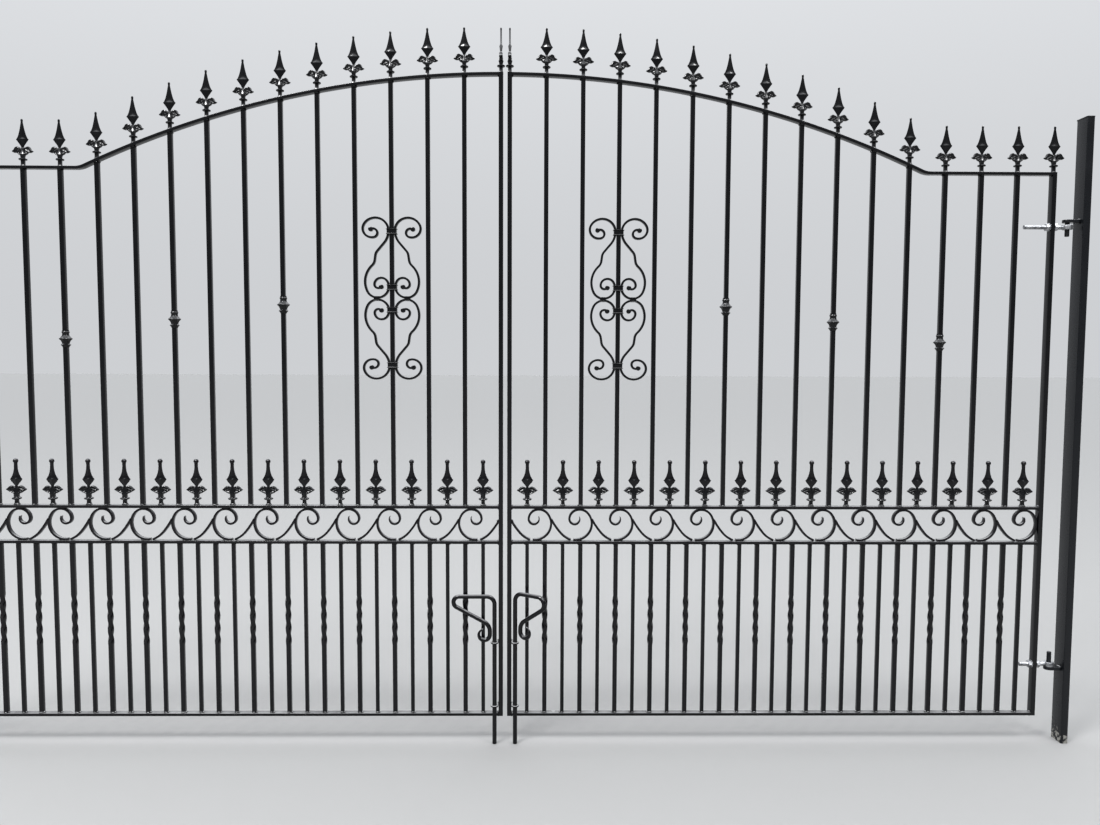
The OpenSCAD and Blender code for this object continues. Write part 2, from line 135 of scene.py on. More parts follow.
def black_paint(name, tone, gloss, grain_mm, grain_depth, dust_and_highlight):
    """Brushed gloss paint: a black coat whose roughness and height vary with noise,
    drawn out upright where it ran, and on what faces upwards a pale grey in noisy
    patches, partly a film of dust and partly a painted highlight of the sky above."""
    material = bpy.data.materials.new(name)
    material.use_nodes = True
    link = material.node_tree.links.new
    shader = material.node_tree.nodes["Principled BSDF"]
    place = add_node(material, "TexCoord")
    patches = add_node(material, "TexNoise", Scale=18.0, Detail=6.0)
    grain = add_node(material, "TexNoise", Scale=1000.0 / grain_mm, Detail=3.0)
    stretch = add_node(material, "Mapping", Scale=(1.0, 1.0, 0.12))
    runs = add_node(material, "TexNoise", Scale=320.0, Detail=2.0)
    height = add_node(material, "Math")
    facing = add_node(material, "NewGeometry")
    split = add_node(material, "SeparateXYZ")
    # Upward faces shift towards the pale grey, more where the noise is high: partly dust, partly a painted
    # highlight.
    upward = add_node(material, "MapRange", From_Min=0.45, From_Max=1.0, To_Max=dust_and_highlight)
    spread = add_node(material, "Math")
    spread.operation = "MULTIPLY"
    coat = add_node(material, "Mix")
    coat.data_type = "RGBA"
    coat.inputs["A"].default_value = (*tone, 1.0)
    coat.inputs["B"].default_value = dust_and_highlight_colour
    shine = add_node(material, "MapRange", From_Min=0.3, From_Max=0.7, To_Min=gloss, To_Max=gloss + 0.14)
    bump = add_node(material, "Bump", Strength=0.35, Distance=grain_depth / 1000.0)
    link(place.outputs["Object"], patches.inputs["Vector"])
    link(place.outputs["Object"], grain.inputs["Vector"])
    link(facing.outputs["Normal"], split.inputs["Vector"])
    link(split.outputs["Z"], upward.inputs["Value"])
    link(upward.outputs["Result"], spread.inputs[0])
    link(patches.outputs["Fac"], spread.inputs[1])
    link(spread.outputs["Value"], coat.inputs["Factor"])
    link(coat.outputs["Result"], shader.inputs["Base Color"])
    link(patches.outputs["Fac"], shine.inputs["Value"])
    link(shine.outputs["Result"], shader.inputs["Roughness"])
    link(place.outputs["Object"], stretch.inputs["Vector"])
    link(stretch.outputs["Vector"], runs.inputs["Vector"])
    link(grain.outputs["Fac"], height.inputs[0])
    link(runs.outputs["Fac"], height.inputs[1])
    link(height.outputs["Value"], bump.inputs["Height"])
    link(bump.outputs["Normal"], shader.inputs["Normal"])
    shader.inputs["Specular IOR Level"].default_value = 0.34
    shader.inputs["Coat Weight"].default_value = 0.2
    shader.inputs["Coat Roughness"].default_value = 0.08
    return material


# The pale grey that the paints lay over upward faces: partly dust, partly a painted highlight.
dust_and_highlight_colour = (0.27, 0.27, 0.272, 1.0)
# The posts' upward faces turn faintly pale grey: partly dust, partly a painted highlight.
post_paint = black_paint("post paint", (0.006, 0.0068, 0.0085), 0.20, 5.0, 0.10, 0.10)
smear_height = 0.085
smear_levels = (0.43, 0.78)
smear_colour = (0.20, 0.195, 0.18, 1.0)
smear_roughness = 0.85


def lime_smears(material):
    """Cement left on the foot of the posts: where noise is above a level that rises
    with the height above the ground, the paint turns pale and dull."""
    link = material.node_tree.links.new
    shader = material.node_tree.nodes["Principled BSDF"]
    place = add_node(material, "TexCoord")
    axes = add_node(material, "SeparateXYZ")
    low = add_node(material, "MapRange", From_Max=smear_height, To_Min=smear_levels[0],
                   To_Max=smear_levels[1])
    blots = add_node(material, "TexNoise", Scale=80.0, Detail=5.0)
    above = add_node(material, "Math")
    above.operation = "SUBTRACT"
    edge = add_node(material, "MapRange", From_Max=0.06)
    link(place.outputs["Object"], axes.inputs["Vector"])
    link(place.outputs["Object"], blots.inputs["Vector"])
    link(axes.outputs["Z"], low.inputs["Value"])
    link(blots.outputs["Fac"], above.inputs[0])
    link(low.outputs["Result"], above.inputs[1])
    link(above.outputs["Value"], edge.inputs["Value"])
    for channel, kind, ending, smeared in (("Base Color", "RGBA", "_Color", smear_colour),
                                           ("Roughness", "FLOAT", "_Float", smear_roughness)):
        blend = add_node(material, "Mix")
        blend.data_type = kind
        sockets = {s.identifier: s for s in [*blend.inputs, *blend.outputs]}
        link(shader.inputs[channel].links[0].from_socket, sockets["A" + ending])
        sockets["B" + ending].default_value = smeared
        link(edge.outputs["Result"], sockets["Factor_Float"])
        link(sockets["Result" + ending], shader.inputs[channel])


lime_smears(post_paint)


def post_skin():
    """The tube's outline carried from the foot to the cap."""
    width, depth, height = post_size
    made = stacked(rounded_ring(width, depth, post_corner), [0.0, 0.5, height - 0.5, height])
    made[:, :, 0] += post_centre
    return skin(made)


def cap_skin():
    """A plate with its edge rounded by two small steps inwards."""
    width, depth = post_size[0] + cap_overhang, post_size[1] + 2 * cap_overhang
    z = post_size[2] + np.array([0.0, 0.4, cap_height - 0.6, cap_height])
    made = stacked(rounded_ring(width, depth, cap_corner), z, [0.99, 1.0, 1.0, 0.985])
    made[:, :, 0] += post_centre - cap_overhang / 2
    return skin(made)


for side, hand in hands:
    piece(hand + "_post_tube", "posts", [post_skin()], post_paint,
          [hand + "_post"], side)
    piece(hand + "_post_plate", "posts", [cap_skin()], post_paint,
          [hand + "_post_cap"], side)

# The frame of each leaf is flat bar, cut square and welded at the corners. The
# top rail is bent to a long arch that runs level before the hanging stile.
meeting_x = 12.0
hanging_x = 1512.0
stile_size = (12.0, 20.0)
rail_size = (8.0, 20.0)
frame_corner = 0.8
frame_foot = 76.0
bottom_rail_z = 80.0
lower_band_z = 575.0
upper_band_z = 675.0
shoulder_z = 1605.0
crown_z = 1863.0
arch_radius = 2720.0
bend_radius = 60.0
bend_stretch = (1120.0, 1200.0)
half_stile = stile_size[0] / 2
half_rail = rail_size[0] / 2
rail_start = meeting_x + half_stile
rail_end = hanging_x - half_stile
leaf_tone = (0.0032, 0.0034, 0.0042)
# Upward faces of the bars, rails and scrolls turn pale grey in noisy patches: partly dust, partly a painted
# highlight.
leaf_paint = black_paint("leaf paint", leaf_tone, 0.14, 3.0, 0.06, 0.75)


def arch_height(x):
    """Centre of the top rail above a point on the ground: the arch's circle, the
    bend's circle that rounds it off, and then the level part."""
    bend_top = shoulder_z + bend_radius
    middle = crown_z - arch_radius
    reach = arch_radius + bend_radius
    bend_x = math.sqrt(reach**2 - (bend_top - middle) ** 2)
    meet_x = bend_x * arch_radius / reach
    on_arch = middle + np.sqrt(np.maximum(arch_radius**2 - x**2, 0.0))
    in_bend = bend_top - np.sqrt(np.maximum(bend_radius**2 - (x - bend_x) ** 2, 0.0))
    return np.where(x < meet_x, on_arch, np.where(x < bend_x, in_bend, shoulder_z))


def carried(path, width, depth, corner, steps=3, thinning=None):
    """A bar bent in the plane of the gate: the bar's section stands across the
    path at each point, its width along the path's normal and its depth along Y.
    Thinning gives the share of the width that is left at each point."""
    along = np.gradient(path, axis=0)
    along /= np.linalg.norm(along, axis=1)[:, None]
    across = np.stack([-along[:, 1], along[:, 0]], 1)
    if thinning is not None:
        across = across * thinning[:, None]
    ring = rounded_ring(width, depth, corner, steps)
    x = path[:, None, 0] + across[:, None, 0] * ring[None, :, 0]
    z = path[:, None, 1] + across[:, None, 1] * ring[None, :, 0]
    y = np.broadcast_to(ring[None, :, 1], x.shape)
    return skin(np.stack([x, y, z], 2)[:, ::-1])


def upright(x, low, high, width, depth, corner=frame_corner):
    """A straight bar that stands at x."""
    return carried(np.array([[x, low], [x, high]]), width, depth, corner)


def level(z):
    """A straight rail between the two stiles."""
    return carried(np.array([[rail_start, z], [rail_end, z]]), *rail_size, frame_corner)


def arched_rail():
    """The top rail, with a point every few millimetres through the bend."""
    before, after = bend_stretch
    x = np.unique(np.concatenate([np.linspace(rail_start, before, 90), np.linspace(before, after, 40),
                                  np.linspace(after, rail_end, 4)]))
    return carried(np.stack([x, arch_height(x)], 1), *rail_size, frame_corner)


for side, hand in hands:
    body = hand + "_leaf"
    bars = {
        "bottom_rail": level(bottom_rail_z),
        "lower_band_rail": level(lower_band_z),
        "upper_band_rail": level(upper_band_z),
        "top_rail": arched_rail(),
        "meeting_stile": upright(meeting_x, frame_foot, crown_z + half_rail, *stile_size),
        "hanging_stile": upright(hanging_x, frame_foot, shoulder_z + half_rail, *stile_size),
    }
    for part, made in bars.items():
        piece(hand + "_" + part + "_bar", body, [made], leaf_paint,
              [hand + "_" + part], side)

# The uprights are square bar, butted between the rails and welded. Below the
# scrolls every second one is thicker and has one full turn twisted into it.
bar_pitch = 50.0
bar_count = 29
main_bar = 12.0
thin_bar = 10.0
bar_corner = 0.9
twist_length = 144.0
twist_z = 352.0
even_bars = meeting_x + bar_pitch * np.arange(2, bar_count + 1, 2)
odd_bars = meeting_x + bar_pitch * np.arange(1, bar_count + 1, 2)
lower_foot = bottom_rail_z + half_rail
lower_top = lower_band_z - half_rail
upper_foot = upper_band_z + half_rail


def twisted(x):
    """The bar's square section, turned by a full turn times the smooth share of
    the twisted stretch that lies below each height."""
    rise = np.linspace(0.0, 1.0, 41)
    heights = np.concatenate([[lower_foot], twist_z + twist_length * (rise - 0.5), [lower_top]])
    turn = 2 * np.pi * np.concatenate([[0.0], rise, [1.0]])
    ring = rounded_ring(main_bar, main_bar, bar_corner, 2)
    flat_x = ring[None, :, 0] * np.cos(turn)[:, None] - ring[None, :, 1] * np.sin(turn)[:, None]
    flat_y = ring[None, :, 0] * np.sin(turn)[:, None] + ring[None, :, 1] * np.cos(turn)[:, None]
    z = np.broadcast_to(heights[:, None], flat_x.shape)
    return skin(np.stack([x + flat_x, flat_y, z], 2))


for side, hand in hands:
    body = hand + "_leaf"
    piece(hand + "_twists", body, [twisted(x) for x in even_bars], leaf_paint,
          [hand + "_twisted_bars"], side)
    piece(hand + "_plain_uprights", body,
          [upright(x, lower_foot, lower_top, thin_bar, thin_bar, bar_corner) for x in odd_bars],
          leaf_paint, [hand + "_thin_bars"], side)
    under_rail = arch_height(even_bars) - half_rail
    piece(hand + "_long_uprights", body,
          [upright(x, upper_foot, top, main_bar, main_bar, bar_corner)
           for x, top in zip(even_bars, under_rail)],
          leaf_paint, [hand + "_upper_bars"], side)

# The band is filled with running scrolls of thin flat bar. Each spiral lies on
# the rail below, and a separate tail rises from there to the next spiral.
scroll_bar = 6.0
scroll_depth = 12.0
scroll_corner = 0.7
scroll_count = 13
scroll_pitch = (rail_end - rail_start) / scroll_count
spiral_start = (35.2, 65.5)
spiral_heading = 244.5
spiral_strokes = ((53.6, 208.4), (34.9, 73.0), (35.9, 65.0), (109.0, 137.0))
tail_start = (59.5, 0.0)
tail_heading = 21.3
tail_strokes = ((36.3, 28.2), (45.2, 12.1))
tail_bite = 1.5
point_length = 26.0
point_share = 0.4


def stroke_path(start, heading, strokes, turn_step=5.0):
    """Points along a bent bar: each stroke is a length and the angle it turns
    through, and each point is the last one plus a chord at the mean heading."""
    points = [np.array([start], float)]
    for length, turn in strokes:
        steps = max(1, math.ceil(abs(turn) / turn_step))
        headings = np.radians(heading + turn * (np.arange(steps) + 0.5) / steps)
        half = math.radians(turn / steps / 2)
        chord = length / steps * (math.sin(half) / half if turn else 1.0)
        moves = chord * np.stack([np.cos(headings), np.sin(headings)], 1)
        points.append(points[-1][-1] + np.cumsum(moves, 0))
        heading += turn
    return np.concatenate(points)


def drawn_out(path, reach, least):
    """Share of a bar's width along a path whose first end is forged to a point: it
    rises with the square root of the distance from that end."""
    steps = np.linalg.norm(np.diff(path, axis=0), axis=1)
    distance = np.concatenate([[0.0], np.cumsum(steps)])
    return np.maximum(least, np.sqrt(np.minimum(distance / reach, 1.0)))


def cut_at(path, x):
    """The part of a path that lies short of x, and the point where it crosses x."""
    kept = path[path[:, 0] < x]
    return np.concatenate([kept, [[x, np.interp(x, path[:, 0], path[:, 1])]]])


def running_scrolls():
    """The spirals and their tails, set out from the hanging stile inwards. The last
    tail ends just inside the face of the meeting stile."""
    foot = np.array([scroll_bar / 2, lower_band_z + half_rail + scroll_bar / 2])
    spiral = stroke_path(foot + spiral_start, spiral_heading, spiral_strokes)
    tail = stroke_path(foot + tail_start, tail_heading, tail_strokes)
    last_tail = cut_at(tail, scroll_pitch + tail_bite)
    thinning = drawn_out(spiral, point_length, point_share)
    made = []
    for i in range(scroll_count):
        place = [rail_end - i * scroll_pitch, 0.0]
        rising = tail if i < scroll_count - 1 else last_tail
        made.append(carried(spiral * [-1, 1] + place, scroll_bar, scroll_depth, scroll_corner, 2, thinning))
        made.append(carried(rising * [-1, 1] + place, scroll_bar, scroll_depth, scroll_corner, 2))
    return made


for side, hand in hands:
    piece(hand + "_running_scrolls", hand + "_leaf", running_scrolls(), leaf_paint,
          [hand + "_scroll_band"], side)

# Four bent scrolls stand round the sixth bar of each leaf. Small clips wrap
# them to the bar and to each other where they touch.
lyre_x = meeting_x + 6 * bar_pitch
lyre_z = 1255.0
lyre_squeeze = 0.965
lyre_start = (48.8, 193.5)
lyre_heading = 149.5
lyre_strokes = ((42.0, 196.0), (57.0, 132.0), (93.2, 149.1), (38.7, 41.4), (30.0, 3.0), (14.0, -33.0),
                (15.0, 0.0), (16.0, 38.0), (79.5, -70.5), (100.9, -186.4), (48.6, -147.9), (26.0, -140.0))
clip_z = (32.0, 190.0)
clip_size = (31.0, 18.0, 15.0)
clip_corner = 1.6
belly_x = 43.0
belly_clip_size = (17.0, 18.0, 13.0)
roll_radius = 6.5
roll_overhang = 1.0
groove_turn, groove_spread, groove_share = 1.2, 0.35, 0.14


def rolled_end(x, z):
    """A short roll across the bar's end: a circle carried along Y, its two rims
    drawn in, with a shallow groove where the bar's end was turned under."""
    reach = scroll_depth / 2 + roll_overhang
    y = np.array([-1.0, -0.9, -0.72, -0.1, 0.1, 0.72, 0.9, 1.0]) * reach
    radius = roll_radius * np.array([0.55, 0.86, 1.0, 1.0, 1.0, 1.0, 0.86, 0.55])
    a = np.linspace(0.0, 2 * np.pi, 20, endpoint=False)[None, :]
    groove = 1 - groove_share * np.exp(-(((a - groove_turn) / groove_spread) ** 2))
    ring_x, ring_z = radius[:, None] * groove * np.cos(a), radius[:, None] * groove * np.sin(a)
    return skin(np.stack([x + ring_x, y[:, None] + 0 * a, z + ring_z], 2)[:, ::-1])


def clip(x, z, size):
    """A strap folded round the bars: a rounded rectangle at each height, widest at
    the lips where the strap's edges stand out."""
    width, depth, height = size
    levels = np.array([-0.5, -0.47, -0.40, -0.32, 0.32, 0.40, 0.47, 0.5]) * height
    scales = [0.92, 1.0, 1.0, 0.86, 0.86, 1.0, 1.0, 0.92]
    made = stacked(rounded_ring(width, depth, clip_corner, 2), levels, scales)
    return skin(made + [x, 0.0, z])


def lyre_scrolls():
    """One side of the upper scroll, mirrored about the bar and about its middle."""
    foot = np.array([(main_bar + scroll_bar) / 2, scroll_bar / 2])
    path = stroke_path(foot + lyre_start, lyre_heading, lyre_strokes)
    made = []
    for flip_x in (1, -1):
        for flip_z in (1, -1):
            side_path = path * [flip_x, flip_z * lyre_squeeze] + [lyre_x, lyre_z]
            made.append(carried(side_path, scroll_bar, scroll_depth, scroll_corner, 2))
            made += [rolled_end(*side_path[0]), rolled_end(*side_path[-1])]
    return made


def lyre_clips():
    """Four straps round the bar and one round each pair of bellies."""
    made = []
    for flip in (1, -1):
        made += [clip(lyre_x, lyre_z + flip * z * lyre_squeeze, clip_size) for z in clip_z]
        made.append(clip(lyre_x + flip * belly_x, lyre_z, belly_clip_size))
    return made


for side, hand in hands:
    piece(hand + "_lyre_bars", hand + "_leaf", lyre_scrolls(), leaf_paint,
          [hand + "_lyre_scrolls"], side)
    piece(hand + "_lyre_straps", hand + "_leaf", lyre_clips(), leaf_paint,
          [hand + "_lyre_scrolls"], side)

# Cast spear heads stand on the top rail over each long bar: a square foot, a
# collar, a pair of drooping leaves and a four-sided blade with hollow flanks.
head_tip = 126.0
leaf_half_depth = 5.2
casting_angle = 22.0
# The heads' upward faces turn very faintly pale grey: partly dust, partly a painted highlight.
head_paint = black_paint("casting paint", leaf_tone, 0.12, 2.2, 0.08, 0.04)


def turned(heights, radii, points=20):
    """A round shape: at each height, a circle of that radius."""
    a = np.linspace(0.0, 2 * np.pi, points, endpoint=False)
    return skin(stacked(np.stack([np.cos(a), np.sin(a)], 1), heights, radii))


def blade(heights, halves, depths, rim=0.8, steps=4):
    """A four-sided spear with blunt edges and hollow sides: at the share u of the
    half width, the depth is the rim's plus what the ridge adds times (1 - |u|)^1.6."""
    half = np.asarray(halves, float)[:, None]
    ridge = np.asarray(depths, float)[:, None]
    u = np.linspace(1.0, -1.0, 2 * steps + 1)[None, :]
    edge = np.minimum(rim, 0.4 * half)
    y = edge + (ridge - edge) * (1 - np.abs(u)) ** 1.6
    x = half * u
    ring = np.concatenate([np.stack([x, y], 2), np.stack([-x, -y], 2)], 1)
    z = np.broadcast_to(np.asarray(heights, float)[:, None, None], ring.shape[:2] + (1,))
    return skin(np.concatenate([ring, z], 2))


def closed_curve(knots, points):
    """A smooth closed curve through the knots: on each span the cubic that leaves
    and reaches its knots along the line between their neighbours."""
    knots = np.asarray(knots, float)
    before, after, further = np.roll(knots, 1, 0), np.roll(knots, -1, 0), np.roll(knots, -2, 0)
    t = np.linspace(0.0, 1.0, points, endpoint=False)[None, :, None]
    a, b, c, d = before[:, None], knots[:, None], after[:, None], further[:, None]
    squared, cubed = 2 * a - 5 * b + 4 * c - d, 3 * b - a - 3 * c + d
    curve = 0.5 * (2 * b + (c - a) * t + squared * t**2 + cubed * t**3)
    return curve.reshape(-1, 2)


leaf_knots = ((0.0, 28.0), (5.5, 28.0), (11.0, 30.5), (15.5, 35.0), (22.0, 35.0), (29.2, 39.0),
              (25.0, 43.0), (21.0, 50.0), (14.6, 53.2), (7.6, 50.5), (0.0, 44.5))


def leaf(knots, half_depth, flip, ribs=0.9):
    """A curled cast leaf: shrunken copies of its outline. A copy's distance from
    the mid-plane is that of a dish with a raised rim, and ribs run along the leaf."""
    outline = closed_curve(knots, 4)
    middle = outline.mean(0)
    s = np.array([0.05, 0.22, 0.38, 0.52, 0.64, 0.74, 0.83, 0.91, 0.97, 1.0])
    front = np.concatenate([-np.ones(len(s) - 1), [0.0], np.ones(len(s) - 1)])
    s = np.concatenate([s, s[-2::-1]])
    flat = middle + s[:, None, None] * (outline - middle)[None, :, :]
    rim = 0.42 + 0.58 * np.exp(-(((s - 0.8) / 0.2) ** 2))
    bulge = (half_depth * rim * np.sqrt(np.maximum(1 - s**5, 0.0)))[:, None]
    across = (flat[:, :, 1] - middle[1]) + 0.45 * (flat[:, :, 0] - middle[0])
    rib = ribs * np.cos(across * 0.9) * (1 - s**2)[:, None]
    y = front[:, None] * (bulge + rib)
    ring = np.stack([flip * flat[:, :, 0], y, flat[:, :, 1]], 2)
    return skin(ring if flip > 0 else ring[:, ::-1])


def rail_head(tip=head_tip, spread=1.0):
    """The parts of a head on the rail, measured from its foot."""
    foot = skin(stacked(rounded_ring(9.8, 9.8, 2.8, 3),
                        [-4.0, 0.0, 1.5, 4.0, 14.0, 21.0, 23.5, 26.0, 28.5, 31.0, 34.0, 44.0, 50.0],
                        [1.3, 1.3, 1.18, 1.0, 1.0, 1.0, 1.04, 1.12, 1.26, 1.4, 1.1, 0.6, 0.4]))
    collar = turned([15.0, 15.9, 16.8, 17.8, 18.8, 19.7, 20.6], [7.6, 10.0, 10.8, 10.9, 10.8, 10.0, 7.6])
    shoulder = 71.5
    rise = np.array([0.0, 2.0, 4.6, 10.5, 18.5, 26.5, 36.5, 42.0, 43.7, 45.7, 47.9, 49.7, 50.5])
    halves = np.array([16.5, 14.4, 12.8, 10.1, 7.7, 5.6, 3.6, 2.4, 2.5, 2.9, 2.8, 1.8, 0.6])
    depths = np.array([4.6, 3.8, 2.7, 2.5, 2.4, 2.3, 2.2, 2.0, 2.1, 2.4, 2.3, 1.6, 0.6])
    above = shoulder + rise * (tip - shoulder) / rise[-1]
    spear = blade([46.0, 50.0, 55.0, 61.5, 67.8, 70.6] + list(above),
                  [2.3, 3.0, 5.3, 9.8, 14.4, 16.6] + list(halves),
                  [2.0, 2.2, 2.6, 3.3, 4.2, 4.7] + list(depths))
    knots = np.array(leaf_knots) * [spread, 1.0]
    return [foot, collar, spear, leaf(knots, leaf_half_depth, 1), leaf(knots, leaf_half_depth, -1)]


def placed(shapes, x, z, quarter_turn=False):
    """The same parts moved to x and z, if need be after a quarter turn about their
    own height."""
    made = []
    for points, walls, caps in shapes:
        if quarter_turn:
            points = points[:, [1, 0, 2]] * [-1, 1, 1]
        made.append((points + [x, 0.0, z], walls, caps))
    return made


# The heads at the crown are a little shorter, and those of the meeting stiles
# stand edge on to the rail, with narrower leaves.
tallest_tip = 120.0
meeting_spread = 0.905
for side, hand in hands:
    heads = placed(rail_head(), hanging_x, shoulder_z + half_rail)
    heads += placed(rail_head(tallest_tip, meeting_spread), meeting_x, crown_z + half_rail, True)
    for x in even_bars:
        foot_z = float(arch_height(x)) + half_rail
        tip = min(head_tip, crown_z + half_rail + tallest_tip - foot_z)
        heads += placed(rail_head(tip), x, foot_z)
    piece(hand + "_rail_spears", hand + "_leaf", heads, head_paint,
          [hand + "_spear_heads"], side, casting_angle)

# A second row of cast heads stands on the upper band rail, over the thin bars.
# They are like the others, but end in a ball instead of a point.
band_leaf_knots = ((0.0, 30.0), (7.0, 30.5), (14.4, 33.0), (21.0, 37.0), (29.0, 42.5),
                   (24.5, 47.0), (20.0, 51.5), (13.6, 54.0), (7.0, 52.0), (0.0, 47.5))
band_rim = 1.2
ball_z = 122.6
ball_radius = 6.9


def finial_ball(z, radius):
    """A cast ball: a circle at each latitude."""
    latitude = np.linspace(-0.47, 0.47, 11) * np.pi
    return turned(z + radius * np.sin(latitude), radius * np.cos(latitude), 16)


def band_head():
    """The parts of a head on the band, measured from its foot."""
    foot = skin(stacked(rounded_ring(10.0, 10.0, 3.0, 3),
                        [0.0, 1.2, 3.0, 5.0, 8.0, 15.0, 22.0, 25.0, 28.0, 31.0, 35.0, 46.0, 56.0],
                        [1.5, 1.5, 1.35, 1.1, 1.0, 1.02, 1.3, 1.3, 1.3, 1.45, 1.2, 0.7, 0.4]))
    collar = turned([14.6, 15.6, 16.8, 18.2, 19.6, 21.0, 22.4], [7.8, 11.0, 12.3, 12.8, 12.0, 9.4, 7.0])
    spear = blade([49.0, 54.0, 59.0, 65.0, 70.0, 71.4, 72.2, 74.4, 77.0, 83.0, 92.0, 101.0, 110.0, 118.0],
                  [3.0, 3.6, 7.4, 12.6, 15.6, 16.5, 16.4, 14.2, 12.6, 9.4, 6.5, 5.0, 4.5, 4.8],
                  [2.6, 2.8, 3.2, 4.0, 5.2, 5.8, 5.8, 4.6, 3.3, 3.2, 3.3, 3.4, 3.6, 4.0], band_rim)
    leaves = [leaf(band_leaf_knots, leaf_half_depth, flip) for flip in (1, -1)]
    return [foot, collar, spear, finial_ball(ball_z, ball_radius)] + leaves


for side, hand in hands:
    heads = []
    for x in odd_bars:
        heads += placed(band_head(), x, upper_foot)
    piece(hand + "_band_spears", hand + "_leaf", heads, head_paint,
          [hand + "_band_heads"], side, casting_angle)

# Cast knuckles sleeve three of the long bars, lower as the arch falls. Each one
# is a barrel with three tiers of leaves, whose rims open upwards like cups.
knuckle_places = ((12, 1237.0), (18, 1196.0), (24, 1141.0))
half_barrel = 24.0
barrel_radius = 8.5
notch_count = 8
notch_share = 0.22
cup_profile = np.array([
    [-24.0, 8.5], [-22.0, 9.0], [-19.0, 11.6], [-17.6, 13.1], [-16.8, 13.5], [-16.0, 12.6],
    [-13.6, 10.0], [-10.5, 10.3], [-5.5, 12.8], [-2.0, 16.6], [-0.4, 17.9], [0.5, 17.6],
    [3.5, 14.0], [8.0, 10.0], [11.5, 8.8], [14.5, 9.0], [16.8, 10.2], [18.0, 10.6],
    [18.9, 10.2], [20.5, 8.9], [24.0, 8.5]])


def knuckle(x, z):
    """A surface round the bar: the radius at height h and angle a is the profile's,
    less a share of its reach beyond the barrel times (1 - cos (notches a)) / 2."""
    h = np.linspace(-half_barrel, half_barrel, 33)
    h = np.unique(np.concatenate([cup_profile[:, 0], h]))[:, None]
    a = np.linspace(0.0, 2 * np.pi, 48, endpoint=False)[None, :]
    profile = np.interp(h, cup_profile[:, 0], cup_profile[:, 1])
    notches = 0.5 - 0.5 * np.cos(notch_count * a)
    radius = profile - notch_share * (profile - barrel_radius) * notches
    rings = np.stack([x + radius * np.cos(a), radius * np.sin(a), z + h + 0 * a], 2)
    return skin(rings)


for side, hand in hands:
    piece(hand + "_leafy_knuckles", hand + "_leaf",
          [knuckle(meeting_x + bay * bar_pitch, z) for bay, z in knuckle_places],
          head_paint, [hand + "_knuckles"], side)

# Each drop bolt is one length of round rod, bent at the top into a handle that
# comes back to the rod and ends in a curl. The right-hand one stands a little
# higher, and its handle is turned towards the front.
bolt_place = (meeting_x + 17.0, -20.0)
bolt_radius = 6.0
handle_corner = 22.0
throat_radius = 30.0
curl_radius = 15.5
curl_turn = 260.0
curl_thinning = 40.0
handles = {
    "right": {"rod": 412.0, "top": 54.0, "nose": 20.0, "slope": 68.8, "angle": 34.5,
              "throat": 7.0, "turn": 33.0},
    "left": {"rod": 402.0, "top": 77.0, "nose": 16.0, "slope": 88.8, "angle": 28.7,
             "throat": 10.0, "turn": 0.0},
}


def bend(radius, turn):
    """A stroke round an arc: its length and its turn."""
    return (radius * math.radians(abs(turn)), turn)


def round_bar(path, radius, points=20, drawn=0.0):
    """A circle carried along a path in the plane of the gate. Its ends are rounded
    by three smaller circles, and the last stretch can be drawn out thinner."""
    along = np.gradient(path, axis=0)
    along /= np.linalg.norm(along, axis=1)[:, None]
    steps = np.linalg.norm(np.diff(path, axis=0), axis=1)
    left = np.concatenate([np.cumsum(steps[::-1])[::-1], [0.0]])
    size = radius * (1.0 if drawn == 0.0 else np.maximum(0.45, np.minimum(left / drawn, 1.0) ** 0.6))
    size = size * np.ones(len(path))
    ease = radius * 0.35
    ends = np.array([0.0, 0.1, 0.5])
    path = np.concatenate([path[:1] + along[:1] * ease * ends[:, None], path[1:-1],
                           path[-1:] - along[-1:] * ease * ends[::-1, None]])
    along = np.concatenate([np.repeat(along[:1], 3, 0), along[1:-1], np.repeat(along[-1:], 3, 0)])
    size = np.concatenate([size[0] * np.array([0.65, 0.8, 1.0]), size[1:-1],
                           size[-1] * np.array([1.0, 0.8, 0.65])])
    a = np.linspace(0.0, 2 * np.pi, points, endpoint=False)[None, :]
    across = np.stack([-along[:, 1], along[:, 0]], 1)
    x = path[:, :1] + size[:, None] * np.cos(a) * across[:, :1]
    z = path[:, 1:] + size[:, None] * np.cos(a) * across[:, 1:]
    return skin(np.stack([x, size[:, None] * np.sin(a), z], 2)[:, ::-1])


def drop_bolt(hand):
    """The whole rod, from its foot to the end of the curl, turned about its own
    upright length."""
    shape = handles[hand]
    strokes = ((shape["rod"], 0.0), bend(handle_corner, -90.0), (shape["top"], 0.0),
               bend(shape["nose"], shape["angle"] - 180.0), (shape["slope"], 0.0),
               bend(throat_radius, 90.0 - shape["angle"]), (shape["throat"], 0.0),
               bend(curl_radius, curl_turn))
    path = stroke_path([0.0, 0.0], 90.0, strokes, 7.5)
    points, walls, caps = round_bar(path, bolt_radius, 20, curl_thinning)
    turn = math.radians(shape["turn"])
    x = points[:, 0] * math.cos(turn) + points[:, 1] * math.sin(turn)
    y = points[:, 1] * math.cos(turn) - points[:, 0] * math.sin(turn)
    return np.stack([x + bolt_place[0], y + bolt_place[1], points[:, 2]], 1), walls, caps


for side, hand in hands:
    piece(hand + "_bolt_rod", hand + "_bolt", [drop_bolt(hand)], leaf_paint,
          [hand + "_drop_bolt"], side)

# The bolt slides in two guides of thinner round bar. Each one is welded to the
# side of the meeting stile and bent once round the bolt.
guide_bar = 5.0
guide_arm_end = 3.0
guide_heights = (110.0, 292.0)
bolt_play = 0.1
guide_loop = bolt_radius + bolt_play + guide_bar / 2
# The guides' upward faces turn mostly pale grey: a painted highlight of the sky, with some dust.
guide_paint = black_paint("guide paint", leaf_tone, 0.12, 2.5, 0.06, 2.4)


